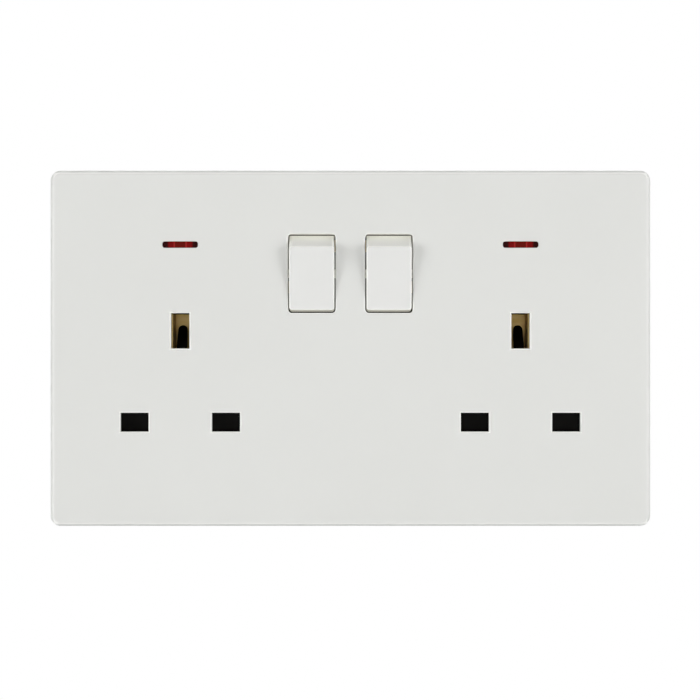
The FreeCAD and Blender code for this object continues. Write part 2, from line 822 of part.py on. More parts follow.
def earth_path():
    """The outline of the earth bar, with a leg down to its terminal."""
    half = dim.bar_width / 2
    reach = outlet_x["right"] + dim.earth_web_gap / 2
    leg = terminal_x["earth"]
    low, high = earth_level - half, earth_level + half
    return [(-reach, low), (leg - half, low), (leg - half, -dim.terminal_top),
            (leg + half, -dim.terminal_top), (leg + half, low), (reach, low),
            (reach, high), (-reach, high)]


def clip_profile(web, pinch, mouth, gaps):
    """A sprung U clip as (across, depth): wide at the web, pinched, flared at the mouth."""
    web_gap, pinch_gap, mouth_gap = [gap / 2 for gap in gaps]
    sheet = dim.sheet
    right_outside = [(web_gap + sheet, web), (pinch_gap + sheet, pinch), (mouth_gap + sheet, mouth)]
    right_inside = [(mouth_gap, mouth), (pinch_gap, pinch), (web_gap, web + sheet)]
    points = right_outside + right_inside
    return points + [(-across, depth) for across, depth in reversed(points)]


def make_live_contact(label, x, top):
    """A contact for a line or neutral pin: one leaf above the pin and one below."""
    contact = body(label)
    profile = clip_profile(top, -dim.live_pinch_depth, -dim.live_mouth,
                           (dim.live_web_gap, dim.live_pinch_gap, dim.live_mouth_gap))
    half = dim.live_contact_width / 2
    pad(contact, "side", -half, half, outline([(depth, up) for up, depth in profile]))
    cut(contact, "front", top, top + dim.sheet, disc(0, 0, dim.rivet_radius))
    place(contact, x, 0, dim.pin_level)
    return contact


def make_earth_contact(label, x):
    """The earth contact: one leaf each side of the pin."""
    contact = body(label)
    profile = clip_profile(earth_top, -dim.earth_pinch_depth, dim.earth_mouth,
                           (dim.earth_web_gap, dim.earth_pinch_gap, dim.earth_mouth_gap))
    half = dim.earth_contact_height / 2
    pad(contact, "top", -half, half, outline(profile))
    cut(contact, "front", earth_top, earth_top + dim.sheet, disc(0, 0, dim.rivet_radius))
    place(contact, x, 0, earth_level)
    return contact


def make_rivets(label, places, layer, heights):
    """Rivets that close a bar and the piece on it: places (x, z), one sheet height each."""
    rivets = body(label)
    for (x, z), height in zip(places, heights):
        top = dim.bar_sheet - layer + height
        pad(rivets, "front", -layer, top, disc(x, z, dim.rivet_radius))
        pad(rivets, "front", top, top + dim.rivet_rise, disc(x, z, dim.rivet_head))
    return rivets


def make_rocker(label, x):
    """A hollow rocker, drawn level and then tilted: its lower end is pressed in."""
    rocker = body(label)
    half = dim.rocker_width / 2
    face, land, reach = dim.rocker_face, dim.rocker_land, dim.rocker_reach
    foot, back = dim.rocker_foot, -dim.rocker_back
    pad(rocker, "side", -half, half, outline([
        (back, -foot), (0, -reach), (face, -land), (face, land), (0, reach), (back, foot)]))

    def on_corner(edge):
        """The four long corners where the sloping ends meet the cheeks."""
        bounds = edge.BoundBox
        return bounds.XLength < 1e-6 and bounds.YMin < -1e-6 and bounds.ZLength < land.value

    def on_front(edge):
        return on_level(edge, face.value)

    soften(rocker, "Fillet", dim.rocker_corner, on_corner)
    soften(rocker, "Fillet", dim.rocker_edge, on_front)

    wall = dim.rocker_wall
    roof = face - wall
    cut(rocker, "front", back, roof, centred(0, 0, dim.rocker_width - 2 * wall, 2 * (land - wall)))
    ring = [disc(0, 0, dim.hub_radius), disc(0, 0, dim.plunger_radius + dim.plunger_play)]
    pad(rocker, "front", -dim.hub_length, roof, *ring)
    for start in (-half - dim.pivot_length, half):
        pad(rocker, "side", start, start + dim.pivot_length, disc(0, 0, dim.pivot_radius))
    place(rocker, x, dim.pivot_depth, dim.rocker_level, dim.rocker_tilt)
    return rocker


def make_plunger(label, x):
    """The sprung plunger that pushes the rocking contact over; its tip is round."""
    plunger = body(label)
    radius = dim.plunger_radius
    pad(plunger, "front", -plunger_tip, dim.plunger_length - plunger_tip, disc(0, 0, radius))
    soften(plunger, "Fillet", dim.plunger_round, lambda edge: on_level(edge, -plunger_tip.value))
    place(plunger, x, dim.pivot_depth, dim.rocker_level, dim.rocker_tilt)
    return plunger


def coil(label, radius, wire, length, turns, start, direction):
    """A compression spring wound in short straight steps, from start along direction."""
    steps = STEPS_PER_TURN * turns
    rise = (length - wire) / steps
    path = []
    for step in range(steps + 1):
        angle = 2 * math.pi * step / STEPS_PER_TURN
        path.append(Vector(radius * math.cos(angle), radius * math.sin(angle), wire / 2 + rise * step))
    ahead = (path[1] - path[0]).normalize()
    out = ahead.cross(Vector(0, 0, 1)).normalize()
    up = out.cross(ahead)
    section = []
    for step in range(WIRE_SIDES + 1):
        angle = 2 * math.pi * step / WIRE_SIDES
        section.append(path[0] + out * (wire / 2 * math.cos(angle)) + up * (wire / 2 * math.sin(angle)))
    wound = Part.makePolygon(path).makePipeShell([Part.makePolygon(section)], True, False, 1)
    spring = document.addObject("Part::Feature", label)
    spring.Label = label
    spring.Shape = wound
    spring.Placement = FreeCAD.Placement(start, FreeCAD.Rotation(Vector(0, 0, 1), direction))
    return spring


def make_rocker_spring(label, x):
    """The spring in the rocker's hub, between the hub's blind end and the plunger."""
    tilt = math.radians(dim.rocker_tilt.value)
    forward = Vector(0, -math.cos(tilt), -math.sin(tilt))
    first = (dim.plunger_length - plunger_tip + dim.spring_seat).value
    last = (dim.rocker_face - dim.rocker_wall - dim.spring_seat).value
    pivot = Vector(x.value, -dim.pivot_depth.value, dim.rocker_level.value)
    return coil(label, dim.rocker_coil.value, dim.rocker_wire.value, last - first,
                ROCKER_TURNS, pivot + forward * first, forward)


def make_shutter_spring(label, x):
    """The spring that lifts the shutter, standing on a peg of the base plate."""
    middle = (dim.shutter_back + shutter_front) / 2
    start = Vector((x + dim.spring_offset).value, -middle.value, (peg_top + dim.spring_seat).value)
    return coil(label, dim.spring_coil.value, dim.spring_wire.value, dim.spring_length.value,
                SHUTTER_TURNS, start, Vector(0, 0, 1))


def make_shutter(label, x):
    """Two flags behind the live slots on one bar, and a stem with a ramp in the earth slot."""
    shutter = body(label)
    flag = pin_offset + dim.flag_width / 2
    low, high = dim.pin_level - dim.flag_height / 2, dim.pin_level + dim.flag_height / 2
    shield, shoulder = dim.shield_width / 2, -dim.shield_top
    stem, tip = dim.stem_width / 2, dim.stem_tip_width / 2
    pad(shutter, "front", -dim.ramp_run, shutter_front, outline([
        (-flag, low), (flag, low), (flag, high), (shield, high), (shield, shoulder),
        (stem, shoulder), (tip, ramp_peak, tip * ALMOST_ROUND), (-tip, ramp_peak, tip * ALMOST_ROUND),
        (-stem, shoulder), (-shield, shoulder), (-shield, high), (-flag, high)]))
    cut(shutter, "front", -dim.ramp_run, shutter_front,
        box(dim.spring_offset - dim.spring_slot / 2, dim.spring_offset + dim.spring_slot / 2,
            peg_top - dim.peg_height - dim.room_gap, spring_top))

    # The ramp slopes back and up, so that the earth pin pushes the shutter down.
    foot = ramp_peak - dim.ramp_height
    behind = dim.ramp_thickness
    back = dim.shutter_back
    run = -dim.ramp_run
    slope = dim.ramp_height / (shutter_front + dim.ramp_run)
    cut(shutter, "side", -flag, flag, outline([
        (run, low), (back, low), (back, foot - behind + (shutter_front - back) * slope),
        (run, ramp_peak - behind)]))
    cut(shutter, "side", -flag, flag, outline([
        (shutter_front, foot), (shutter_front, ramp_peak), (run, ramp_peak)]))
    place(shutter, x)
    return shutter


def make_seesaw(label, x):
    """The rocking contact strip with its trunnions, drawn level about its axis."""
    strip = body(label)
    half, sheet = dim.seesaw_width / 2, dim.seesaw_sheet / 2
    pad(strip, "front", -sheet, sheet, box(-half, half, -dim.seesaw_tail, dim.seesaw_reach,
                                       dim.seesaw_corner))
    cut(strip, "front", -sheet, sheet, disc(0, dim.tip_reach, dim.tip_shank))
    reach = half + dim.trunnion_length
    pad(strip, "side", -reach, reach, disc(0, 0, dim.trunnion_radius))
    place(strip, x, seesaw_depth, dim.rocker_level, -dim.seesaw_tilt)
    return strip


def make_moving_tip(label, x):
    """The contact button riveted through the upper arm of the strip."""
    tip = body(label)
    sheet = dim.seesaw_sheet / 2
    pad(tip, "front", -sheet - dim.tip_height, -sheet, disc(0, dim.tip_reach, dim.tip_radius))
    pad(tip, "front", -sheet, sheet, disc(0, dim.tip_reach, dim.tip_shank))
    place(tip, x, seesaw_depth, dim.rocker_level, -dim.seesaw_tilt)
    return tip


def make_fixed_tips():
    """The two contact buttons riveted to the arms of the line bar."""
    tips = body("fixed_contact_tips")
    for x in rocker_x.values():
        pad(tips, "front", line_top, line_top + dim.tip_height, disc(x, tip_level, dim.tip_radius))
        pad(tips, "front", -dim.line_layer, line_top, disc(x, tip_level, dim.rivet_radius))
    return tips


def make_bracket(label, x):
    """The pivot bracket: a base on the strap and two ears with notches for the trunnions."""
    bracket = body(label)
    inner = dim.seesaw_width / 2 + dim.ear_gap
    outer = inner + dim.ear_sheet
    sheet = dim.ear_sheet
    half = dim.ear_width / 2
    low = -dim.strap_drop - dim.bar_width / 2
    pad(bracket, "front", line_top, line_top + sheet,
        box(-outer, outer, low, half + dim.bracket_margin))
    notch = dim.trunnion_radius + dim.trunnion_play
    rim = seesaw_depth + 2 * dim.trunnion_radius
    ear = outline([
        (line_top, -half), (rim, -half), (rim, -notch), (seesaw_depth - notch, -notch),
        (seesaw_depth - notch, notch), (rim, notch), (rim, half), (line_top, half)])
    pad(bracket, "side", inner, outer, ear)
    pad(bracket, "side", -outer, -inner, ear)
    cut(bracket, "front", line_top, line_top + sheet, disc(0, -dim.strap_drop, dim.rivet_radius))
    place(bracket, x, 0, dim.rocker_level)
    return bracket


def make_lens(label, x):
    """The red lens: a bar in the window and a flange behind the front plate."""
    lens = body(label)
    play, margin = dim.lens_play, dim.lens_margin
    width, height = dim.lens_width - 2 * play, dim.lens_height - 2 * play
    pad(lens, "front", wall_back - dim.lens_flange, wall_back,
        centred(0, 0, dim.lens_width + 2 * margin, dim.lens_height + 2 * margin, margin))
    pad(lens, "front", wall_back, dim.plate_front, centred(0, 0, width, height, dim.lens_corner - play))
    place(lens, x, 0, dim.neon_level)
    return lens


def make_lamp(label, x):
    """The neon lamp: a glass bulb along X with two leads at its outer end."""
    lamp = body(label)
    half, radius, lead = dim.lamp_length / 2, dim.lamp_radius, dim.lead_radius
    turn(lamp, "front", 0, outline([
        (-half, 0), (half, 0), (half, radius, dim.lamp_round), (-half, radius, dim.lamp_round)]))
    elbow = half + 2 * lead
    depth = wall_back - dim.lens_flange - dim.lamp_gap - radius
    for sign in (-1, 1):
        up = sign * dim.lead_pitch / 2
        pad(lamp, "side", half - lead, elbow + lead, disc(0, up, lead))
        pad(lamp, "front", -depth - dim.neon_room_depth / 2, 0, disc(elbow, up, lead))
    place(lamp, x, depth, dim.neon_level)
    return lamp


def make_resistor(label, x):
    """The lamp's series resistor, with its own leads, on the floor of the lamp room."""
    resistor = body(label)
    half, radius, lead = dim.resistor_length / 2, dim.resistor_radius, dim.lead_radius
    turn(resistor, "front", 0, outline([
        (-half, 0), (half, 0), (half, radius, dim.resistor_round), (-half, radius, dim.resistor_round)]))
    reach = dim.lamp_length / 2 + lead
    pad(resistor, "side", -reach, reach, disc(0, 0, lead))
    depth = dim.spring_seat + radius - dim.neon_room_depth
    place(resistor, x, depth, dim.neon_level)
    return resistor


def make_terminal(label, x):
    """A brass terminal block with a wire hole from below and a clamp screw hole."""
    block = body(label)
    half = dim.terminal_width / 2
    back, low = -dim.terminal_back, terminal_low
    pad(block, "front", back, back + dim.terminal_depth,
        box(-half, half, low, -dim.terminal_top, dim.terminal_corner))
    cut(block, "top", low, -dim.terminal_top, disc(0, -dim.wire_depth, dim.wire_radius))
    cut(block, "front", back, -dim.wire_depth,
        disc(0, terminal_level, dim.clamp_radius + dim.clamp_play))
    place(block, x)
    return block


def make_clamp_screw(label, x):
    """A terminal screw, backed off so that a wire goes in; its slot faces the back."""
    screw = body(label)
    tip, head = -dim.clamp_tip, dim.clamp_head_height
    under_head = -dim.terminal_back - dim.clamp_travel - dim.clamp_slot / 2
    pad(screw, "front", under_head, tip, disc(0, 0, dim.clamp_radius))
    pad(screw, "front", under_head - head, under_head, disc(0, 0, dim.clamp_head))
    cut(screw, "front", under_head - head, under_head - head / 2,
        centred(0, 0, 2 * dim.clamp_head + dim.clamp_slot, dim.clamp_slot))
    soften(screw, "Chamfer", dim.clamp_slot / 2, lambda edge: on_level(edge, tip.value))
    place(screw, x, 0, terminal_level)
    return screw


def make_housing_screws():
    """The four screws that hold the rear housing on the base plate."""
    screws = body("housing_screws")
    seat = -dim.screw_seat
    head = seat - dim.screw_head_height
    pad(screws, "front", seat, dim.screw_bite, *screw_discs(dim.screw_radius))
    pad(screws, "front", head, seat, *screw_discs(dim.screw_head))
    long, short = dim.screw_cross, dim.clamp_slot
    for x, z in screw_places:
        cut(screws, "front", head, head + dim.screw_head_height / 2, centred(x, z, long, short))
        cut(screws, "front", head, head + dim.screw_head_height / 2, centred(x, z, short, long))
    return screws


make_front_plate()
make_base_plate()
make_rear_housing()

line_holes, neutral_holes, earth_holes = [], [], []
for side in SIDES:
    outlet, switch = outlet_x[side], rocker_x[side]
    make_rocker(f"{side}_rocker", switch)
    make_plunger(f"{side}_plunger", switch)
    make_rocker_spring(f"{side}_rocker_spring", switch)
    make_seesaw(f"{side}_rocking_contact", switch)
    make_moving_tip(f"{side}_moving_tip", switch)
    make_bracket(f"{side}_pivot_bracket", switch)
    strap_holes = [(outlet + pin_offset, dim.pin_level), (switch, strap_level)]
    make_bar(f"{side}_line_strap", dim.line_layer, strap_path(side), strap_holes)
    line_holes += strap_holes
    neutral_holes.append((outlet - pin_offset, dim.pin_level))
    earth_holes.append((outlet, earth_level))
    make_live_contact(f"{side}_line_contact", outlet + pin_offset, line_top)
    make_live_contact(f"{side}_neutral_contact", outlet - pin_offset, neutral_top)
    make_earth_contact(f"{side}_earth_contact", outlet)
    make_shutter(f"{side}_shutter", outlet)
    make_shutter_spring(f"{side}_shutter_spring", outlet)
    make_lens(f"{side}_neon_lens", outlet)
    make_lamp(f"{side}_neon_lamp", outlet)
    make_resistor(f"{side}_resistor", outlet)

tip_holes = [(x, tip_level) for x in rocker_x.values()]
make_bar("line_bar", dim.line_layer, line_path(), tip_holes)
make_bar("neutral_bar", dim.neutral_layer, neutral_path(), neutral_holes)
make_bar("earth_bar", dim.earth_layer, earth_path(), earth_holes)
make_fixed_tips()
web, base = dim.sheet, dim.ear_sheet
make_rivets("line_rivets", line_holes, dim.line_layer, [web, base, web, base])
make_rivets("neutral_rivets", neutral_holes, dim.neutral_layer, [web, web])
make_rivets("earth_rivets", earth_holes, dim.earth_layer, [web, web])
for pole, terminal in terminal_x.items():
    make_terminal(f"{pole}_terminal", terminal)
    make_clamp_screw(f"{pole}_terminal_screw", terminal)
make_housing_screws()

document.recompute()
for item in document.Objects:
    if "Invalid" in item.State or "Error" in item.State:
        raise ValueError(f"{item.Label} failed: {item.State}")

os.makedirs("parts", exist_ok=True)
pieces = [item for item in document.Objects if item.TypeId in ("PartDesign::Body", "Part::Feature")]
for piece in pieces:
    if piece.Shape.isNull() or not piece.Shape.isValid():
        raise ValueError(f"{piece.Label} has no valid shape")
for piece in pieces:
    piece.Shape.exportStep(f"parts/{piece.Label}.step")
    print(piece.Label, len(piece.Shape.Solids), round(piece.Shape.Volume, 2))
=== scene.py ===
import json
import math

import bpy
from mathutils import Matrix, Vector

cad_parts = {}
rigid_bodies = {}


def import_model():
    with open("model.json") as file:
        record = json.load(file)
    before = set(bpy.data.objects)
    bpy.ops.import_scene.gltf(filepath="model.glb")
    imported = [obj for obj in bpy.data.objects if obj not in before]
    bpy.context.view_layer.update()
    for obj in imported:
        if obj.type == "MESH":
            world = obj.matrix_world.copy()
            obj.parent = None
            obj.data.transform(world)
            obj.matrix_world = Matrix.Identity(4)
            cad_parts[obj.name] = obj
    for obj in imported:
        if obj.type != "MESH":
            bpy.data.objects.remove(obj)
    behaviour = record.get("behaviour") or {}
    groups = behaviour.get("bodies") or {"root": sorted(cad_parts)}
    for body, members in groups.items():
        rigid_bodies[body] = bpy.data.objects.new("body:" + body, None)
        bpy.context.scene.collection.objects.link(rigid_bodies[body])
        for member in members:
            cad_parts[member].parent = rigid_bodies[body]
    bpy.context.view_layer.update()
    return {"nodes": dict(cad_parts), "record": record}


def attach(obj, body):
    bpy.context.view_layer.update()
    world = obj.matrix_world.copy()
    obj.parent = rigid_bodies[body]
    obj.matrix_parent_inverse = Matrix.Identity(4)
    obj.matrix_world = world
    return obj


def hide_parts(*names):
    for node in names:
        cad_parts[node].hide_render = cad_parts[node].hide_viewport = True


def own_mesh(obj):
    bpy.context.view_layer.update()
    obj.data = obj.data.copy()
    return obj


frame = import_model()

# Places and sizes on the socket, in metres in the row frame.
FACE_Y = -0.009
LENS_X = 0.0414
LENS_WIDTH = 0.0087
ROCKER_REACH_X = 0.0165
PLATE_HIGHLIGHT_REACH = (0.0722, 0.0427)
ROCKER_HIGHLIGHT_REACH = (0.0715, 0.0415)

# The camera, straight on. PHOTO_WIDTH_M is what the photo spans at the plate's face.
PHOTO_WIDTH_M = 0.1702
CAMERA_X = -0.0001
CAMERA_Z = -0.00043
CAMERA_DISTANCE = 0.8
SENSOR_MM = 36.0

# The studio.
FLOOR_Z = -0.3
WALL_Y = 1.6
STUDIO_REACH = 6.0
FLOOR_GLOW = 0.6
WALL_GLOW = 1.0
STUDIO_TONE = 0.8
STUDIO_ROUGHNESS = 0.9
WORLD_LIGHT = 0.2

# What all the finishes share.
TONE_STOPS = (0.3, 0.7)
GLOSS_SCALE = 3.1
NOISE_DETAIL = 4.0
GRAIN_DETAIL = 3.0
NOISE_ROUGHNESS = 0.55
BUMP_DISTANCE = 0.0001
COAT_ROUGHNESS = 0.12
LENS_ROUGHNESS = 0.3
LENS_SPECULAR = 0.12

WHITE_LIGHT = (1.0, 1.0, 1.0, 1.0)
OFF, ON = (0.0, 0.0, 0.0), (1.0, 1.0, 1.0)

# Where a surface counts as a rim for the painted highlights: 0 faces square to the axis and 1 faces
# along it.
HIGHLIGHT_RIM_STOPS = [(0.15, OFF), (0.45, ON), (0.88, ON), (0.97, OFF)]

# The sockets of a Mix node that mixes colours.
MIX_FACTOR, MIX_FROM, MIX_TO, MIX_RESULT = 0, 6, 7, 2


def new_material(name):
    """A node material, with its nodes, its links and its Principled shader."""
    material = bpy.data.materials.new(name)
    material.use_nodes = True
    shader = material.node_tree.nodes["Principled BSDF"]
    return material, material.node_tree.nodes, material.node_tree.links, shader


def calculate(nodes, links, operation, first, second=None):
    """The result of one sum on a socket. second is a number, another socket or left out."""
    node = nodes.new("ShaderNodeMath")
    node.operation = operation
    links.new(first, node.inputs[0])
    if isinstance(second, float):
        node.inputs[1].default_value = second
    elif second is not None:
        links.new(second, node.inputs[1])
    return node.outputs["Value"]


def remap(nodes, links, source, before, after):
    """Turns the range before into the range after, and holds what lies beyond at its ends."""
    node = nodes.new("ShaderNodeMapRange")
    node.inputs["From Min"].default_value, node.inputs["From Max"].default_value = before
    node.inputs["To Min"].default_value, node.inputs["To Max"].default_value = after
    links.new(source, node.inputs["Value"])
    return node.outputs["Result"]


def own_space(nodes, links, kind):
    """The X, Y and Z sockets of the piece's own places ("Object") or directions ("Normal")."""
    coords = nodes.new("ShaderNodeTexCoord")
    split = nodes.new("ShaderNodeSeparateXYZ")
    links.new(coords.outputs[kind], split.inputs["Vector"])
    return split.outputs


def object_noise(nodes, links, scale, stretch, detail=NOISE_DETAIL):
    """Noise in the object's own space, so it stays on the piece in every view."""
    coords = nodes.new("ShaderNodeTexCoord")
    mapping = nodes.new("ShaderNodeMapping")
    mapping.inputs["Scale"].default_value = stretch
    noise = nodes.new("ShaderNodeTexNoise")
    noise.inputs["Scale"].default_value = scale
    noise.inputs["Detail"].default_value = detail
    noise.inputs["Roughness"].default_value = NOISE_ROUGHNESS
    links.new(coords.outputs["Object"], mapping.inputs["Vector"])
    links.new(mapping.outputs["Vector"], noise.inputs["Vector"])
    return noise.outputs["Fac"]


def ramp(nodes, links, source, stops):
    """A colour ramp over a 0 to 1 value. stops are (position, colour)."""
    node = nodes.new("ShaderNodeValToRGB")
    elements = node.color_ramp.elements
    while len(elements) < len(stops):
        elements.new(0.5)
    for element, (position, colour) in zip(elements, stops):
        element.position = position
        element.color = (*colour, 1.0)
    links.new(source, node.inputs["Fac"])
    return node.outputs["Color"]


def surface(name, low, high, roughness, spread, scale, bump, bump_scale,
            metallic=0.0, coat=0.0, stretch=(1.0, 1.0, 1.0), specular=0.5):
    """A moulded or metal surface: varied colour, varied roughness and a fine bump."""
    material, nodes, links, shader = new_material(name)
    tone = object_noise(nodes, links, scale, stretch)
    links.new(ramp(nodes, links, tone, list(zip(TONE_STOPS, (low, high)))),
              shader.inputs["Base Color"])
    gloss = object_noise(nodes, links, scale * GLOSS_SCALE, stretch)
    links.new(remap(nodes, links, gloss, (0.0, 1.0), (roughness - spread, roughness + spread)),
              shader.inputs["Roughness"])
    grain = object_noise(nodes, links, bump_scale, stretch, GRAIN_DETAIL)
    relief = nodes.new("ShaderNodeBump")
    relief.inputs["Strength"].default_value = bump
    relief.inputs["Distance"].default_value = BUMP_DISTANCE
    links.new(grain, relief.inputs["Height"])
    links.new(relief.outputs["Normal"], shader.inputs["Normal"])
    shader.inputs["Metallic"].default_value = metallic
    shader.inputs["Coat Weight"].default_value = coat
    shader.inputs["Coat Roughness"].default_value = COAT_ROUGHNESS
    shader.inputs["Specular IOR Level"].default_value = specular
    return material


def paint_gap_light(material, colour, regions):
    """Painted light: emission on the plastic that fills the shade in the narrow gaps round the
    rockers and on the rocker ends that sink below the face.

    A region is (strength, axis, (begin, full), (lowest z, highest z)). It grows from nothing to
    its strength between two places on the axis, and ends ROCKER_REACH_X from the middle."""
    nodes, links = material.node_tree.nodes, material.node_tree.links
    place = own_space(nodes, links, "Object")
    out = calculate(nodes, links, "ABSOLUTE", place["X"])
    total = None
    for strength, axis, growth, (lowest, highest) in regions:
        amount = remap(nodes, links, place[axis], growth, (0.0, strength))
        for source, operation, limit in ((out, "LESS_THAN", ROCKER_REACH_X),
                                         (place["Z"], "GREATER_THAN", lowest),
                                         (place["Z"], "LESS_THAN", highest)):
            inside = calculate(nodes, links, operation, source, limit)
            amount = calculate(nodes, links, "MULTIPLY", amount, inside)
        total = amount if total is None else calculate(nodes, links, "ADD", total, amount)
    # The painted light goes into the emission of the plastic.
    shader = nodes["Principled BSDF"]
    shader.inputs["Emission Color"].default_value = (*colour, 1.0)
    links.new(total, shader.inputs["Emission Strength"])


def paint_rim_highlights(material, highlight_colour, axis, reach):
    """Painted highlights: rims that slope along the axis get a lighter base colour.

    reach is how far from the middle they may lie across and up."""
    nodes, links = material.node_tree.nodes, material.node_tree.links
    slope = calculate(nodes, links, "ABSOLUTE", own_space(nodes, links, "Normal")[axis])
    amount = ramp(nodes, links, slope, HIGHLIGHT_RIM_STOPS)
    place = own_space(nodes, links, "Object")
    for side, limit in zip("XZ", reach):
        away = calculate(nodes, links, "ABSOLUTE", place[side])
        inside = calculate(nodes, links, "LESS_THAN", away, limit)
        amount = calculate(nodes, links, "MULTIPLY", amount, inside)
    base = nodes["Principled BSDF"].inputs["Base Color"]
    mix = nodes.new("ShaderNodeMix")
    mix.data_type = "RGBA"
    mix.inputs[MIX_TO].default_value = (*highlight_colour, 1.0)
    links.new(amount, mix.inputs[MIX_FACTOR])
    links.new(base.links[0].from_socket, mix.inputs[MIX_FROM])
    links.new(mix.outputs[MIX_RESULT], base)


def painted_rib_lens(name, middle):
    """Clear red plastic with the look of its ribs in the base colour: darker ends, two painted
    highlight lines and a darker centre.
    """
    material, nodes, links, shader = new_material(name)
    ends = (middle - LENS_WIDTH / 2, middle + LENS_WIDTH / 2)
    along = remap(nodes, links, own_space(nodes, links, "Object")["X"], ends, (0.0, 1.0))
    dark, red = (0.022, 0.0005, 0.0003), (0.17, 0.001, 0.001)
    highlight_colour, core = (0.42, 0.03, 0.03), (0.125, 0.003, 0.0005)
    # The two highest stops are painted highlight lines where the ribs catch light.
    stops = [(0.0, dark), (0.14, dark), (0.19, red), (0.31, red), (0.335, highlight_colour), (0.36, core),
             (0.5, core), (0.64, core), (0.665, highlight_colour), (0.69, red), (0.81, red), (0.87, dark)]
    links.new(ramp(nodes, links, along, stops), shader.inputs["Base Color"])
    shader.inputs["Roughness"].default_value = LENS_ROUGHNESS
    shader.inputs["Specular IOR Level"].default_value = LENS_SPECULAR
    return material


# A material for each of the record's material slots. The two colours are the noise's ends.
FINISHES = {
    "white_moulding": surface(
        "plate_white", (0.745, 0.75, 0.725), (0.762, 0.767, 0.742),
        roughness=0.38, spread=0.03, scale=22.0, bump=0.04, bump_scale=2600.0, coat=0.1),
    "rocker_moulding": surface(
        "key_white", (0.76, 0.762, 0.746), (0.773, 0.775, 0.758),
        roughness=0.30, spread=0.02, scale=30.0, bump=0.03, bump_scale=2600.0, coat=0.2),
    "dark_moulding": surface(
        "dark_moulding_finish", (0.020, 0.019, 0.016), (0.034, 0.032, 0.027),
        roughness=0.58, spread=0.08, scale=60.0, bump=0.25, bump_scale=3000.0),
    "shutter_moulding": surface(
        "shutter_finish", (0.004, 0.0034, 0.0028), (0.007, 0.006, 0.005),
        roughness=0.5, spread=0.06, scale=80.0, bump=0.12, bump_scale=3000.0, specular=0.13),
    "acetal": surface(
        "acetal_finish", (0.72, 0.70, 0.64), (0.78, 0.76, 0.70),
        roughness=0.4, spread=0.05, scale=80.0, bump=0.05, bump_scale=3000.0),
    "brass": surface(
        "brass_finish", (0.80, 0.56, 0.20), (0.92, 0.70, 0.32),
        roughness=0.34, spread=0.06, scale=140.0, bump=0.08, bump_scale=1800.0,
        metallic=1.0, stretch=(1.0, 1.0, 5.0)),
    "copper_alloy": surface(
        "bronze_finish", (0.50, 0.24, 0.10), (0.62, 0.33, 0.15),
        roughness=0.3, spread=0.07, scale=140.0, bump=0.12, bump_scale=1800.0,
        metallic=1.0, stretch=(5.0, 1.0, 1.0)),
    "silver_tip": surface(
        "tip_finish", (0.62, 0.62, 0.60), (0.78, 0.78, 0.76),
        roughness=0.3, spread=0.1, scale=400.0, bump=0.2, bump_scale=3000.0, metallic=1.0),
    "steel": surface(
        "spring_finish", (0.36, 0.36, 0.36), (0.52, 0.52, 0.52),
        roughness=0.3, spread=0.08, scale=300.0, bump=0.1, bump_scale=3000.0, metallic=1.0),
    "screw_steel": surface(
        "screw_finish", (0.50, 0.49, 0.42), (0.68, 0.66, 0.56),
        roughness=0.28, spread=0.08, scale=220.0, bump=0.12, bump_scale=2400.0, metallic=1.0),
    "resistor_body": surface(
        "resistor_finish", (0.50, 0.40, 0.24), (0.60, 0.50, 0.32),
        roughness=0.35, spread=0.05, scale=300.0, bump=0.1, bump_scale=3000.0),
    "lamp_glass": surface(
        "lamp_finish", (0.72, 0.62, 0.54), (0.86, 0.78, 0.70),
        roughness=0.08, spread=0.02, scale=200.0, bump=0.02, bump_scale=2000.0, coat=0.5),
}
PAINTED_RIB_LENSES = {
    "left": painted_rib_lens("left_lens_finish", -LENS_X),
    "right": painted_rib_lens("right_lens_finish", LENS_X),
}

# Painted light that fills the shade round each rocker. Each list says: the whole gap round a rocker,
# then its upper end, then its lower end.
paint_gap_light(FINISHES["white_moulding"], (1.0, 0.96, 0.84), [
    (0.045, "Y", (-0.0088, -0.0078), (0.008, 0.0282)),
    (0.1, "Y", (-0.0089, -0.0080), (0.0274, 0.0290)),
    (0.09, "Y", (-0.0089, -0.0080), (0.0078, 0.0091))])
paint_gap_light(FINISHES["rocker_moulding"], (1.0, 0.97, 0.85), [
    (0.075, "Y", (-0.0088, -0.0062), (0.008, 0.0282)),
    (0.16, "Z", (0.0271, 0.0274), (0.0271, 0.0290)),
    (0.09, "Z", (0.0093, 0.0090), (0.0080, 0.0093))])
# Painted highlights on the rims of the plate and of the rockers.
paint_rim_highlights(FINISHES["white_moulding"], (0.96, 0.96, 0.93), "Y", PLATE_HIGHLIGHT_REACH)
for slope_axis in "XZ":
    paint_rim_highlights(FINISHES["rocker_moulding"], (0.97, 0.97, 0.93), slope_axis, ROCKER_HIGHLIGHT_REACH)


def dress(node, material):
    """Puts one material on every slot of a CAD node."""
    piece = frame["nodes"][node]
    if not piece.material_slots:
        piece.data.materials.append(material)
    for holder in piece.material_slots:
        holder.material = material


for entry in frame["record"]["subparts"]:
    name, slot_name = entry["node"], entry["material_slot"]
    if slot_name == "red_lens":
        dress(name, PAINTED_RIB_LENSES[name.split("_")[0]])
    else:
        dress(name, FINISHES[slot_name])


def shorten(spring):
    """A copy of a CAD spring, on the spring's own body, stands in for it, and the CAD spring is
    hidden.
    """
    still = frame["nodes"][spring]
    coil = bpy.data.objects.new(spring + "_coil", still.data.copy())
    bpy.context.scene.collection.objects.link(coil)
    coil.matrix_world = still.matrix_world
    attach(coil, still.parent.name.split(":")[1])
    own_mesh(coil)
    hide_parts(spring)


for side in ("left", "right"):
    shorten(side + "_rocker_spring")
    shorten(side + "_shutter_spring")


def seen_directly(nodes, links):
    """1 for rays from the camera, from a mirror-like surface or through glass, else 0."""
    path = nodes.new("ShaderNodeLightPath").outputs
    total = path["Is Camera Ray"]
    for kind in ("Is Glossy Ray", "Is Transmission Ray"):
        total = calculate(nodes, links, "MAXIMUM", total, path[kind])
    return total


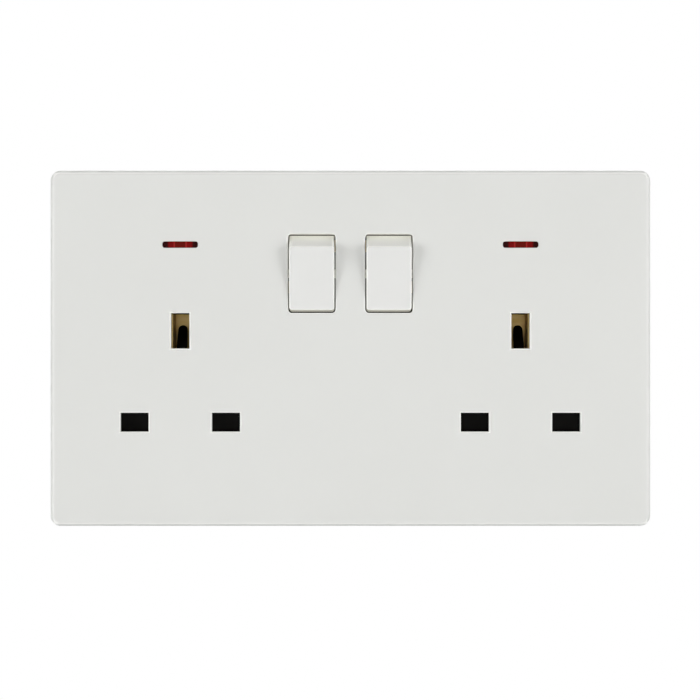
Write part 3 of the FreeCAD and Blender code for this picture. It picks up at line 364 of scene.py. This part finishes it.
def studio_material(name, share):
    """Pale to the light on the object, and white by this share where it is seen."""
    material, nodes, links, shader = new_material(name)
    shader.inputs["Base Color"].default_value = (STUDIO_TONE, STUDIO_TONE, STUDIO_TONE, 1.0)
    shader.inputs["Roughness"].default_value = STUDIO_ROUGHNESS
    glow = nodes.new("ShaderNodeEmission")
    glow.inputs["Color"].default_value = WHITE_LIGHT
    mix = nodes.new("ShaderNodeMixShader")
    seen = calculate(nodes, links, "MULTIPLY", seen_directly(nodes, links), share)
    links.new(seen, mix.inputs["Fac"])
    links.new(shader.outputs["BSDF"], mix.inputs[1])
    links.new(glow.outputs["Emission"], mix.inputs[2])
    links.new(mix.outputs["Shader"], nodes["Material Output"].inputs["Surface"])
    return material


def stage_plane(name, corners, material):
    """A flat sheet that belongs to the studio and not to the socket."""
    mesh = bpy.data.meshes.new(name)
    mesh.from_pydata(corners, [], [(0, 1, 2, 3)])
    mesh.materials.append(material)
    plane = bpy.data.objects.new(name, mesh)
    bpy.context.scene.collection.objects.link(plane)


def area_light(name, place, energy, size):
    """A rectangular light that points at the middle of the socket."""
    data = bpy.data.lights.new(name, "AREA")
    data.energy = energy
    data.shape = "RECTANGLE"
    data.size, data.size_y = size
    lamp = bpy.data.objects.new(name, data)
    lamp.location = place
    lamp.rotation_euler = (-Vector(place)).to_track_quat("-Z", "Y").to_euler()
    bpy.context.scene.collection.objects.link(lamp)


stage_plane("floor", [
    (-STUDIO_REACH, -STUDIO_REACH, FLOOR_Z), (STUDIO_REACH, -STUDIO_REACH, FLOOR_Z),
    (STUDIO_REACH, STUDIO_REACH, FLOOR_Z), (-STUDIO_REACH, STUDIO_REACH, FLOOR_Z),
], studio_material("floor_pale", FLOOR_GLOW))
stage_plane("backdrop", [
    (-STUDIO_REACH, WALL_Y, FLOOR_Z), (STUDIO_REACH, WALL_Y, FLOOR_Z),
    (STUDIO_REACH, WALL_Y, STUDIO_REACH), (-STUDIO_REACH, WALL_Y, STUDIO_REACH),
], studio_material("backdrop_white", WALL_GLOW))

# name, place in metres, watts, width and height in metres
area_light("left_softbox", (-0.98, -0.7, 0.0), 9.9, (0.6, 1.0))
area_light("right_softbox", (0.98, -0.7, 0.0), 9.9, (0.6, 1.0))
area_light("top_softbox", (0.0, -0.7, 1.1), 1.8, (1.0, 0.5))
area_light("front_fill", (0.0, -1.3, 0.03), 0.2, (0.25, 0.25))
area_light("back_fill", (0.0, 1.1, 0.9), 4.0, (1.0, 0.6))

# The world is white where the camera sees it and much weaker as a light.
world = bpy.context.scene.world or bpy.data.worlds.new("studio")
bpy.context.scene.world = world
world.use_nodes = True
world_nodes, world_links = world.node_tree.nodes, world.node_tree.links
sky = world_nodes["Background"]
sky.inputs["Color"].default_value = WHITE_LIGHT
camera_ray = world_nodes.new("ShaderNodeLightPath").outputs["Is Camera Ray"]
world_links.new(remap(world_nodes, world_links, camera_ray, (0.0, 1.0), (WORLD_LIGHT, 1.0)),
                sky.inputs["Strength"])

camera_data = bpy.data.cameras.new("camera")
camera_data.sensor_width = SENSOR_MM
camera_data.lens = SENSOR_MM * CAMERA_DISTANCE / PHOTO_WIDTH_M
camera = bpy.data.objects.new("camera", camera_data)
camera.location = (CAMERA_X, FACE_Y - CAMERA_DISTANCE, CAMERA_Z)
camera.rotation_euler = (math.radians(90), 0.0, 0.0)
bpy.context.scene.collection.objects.link(camera)
bpy.context.scene.camera = camera
bpy.context.scene.view_settings.view_transform = "Standard"
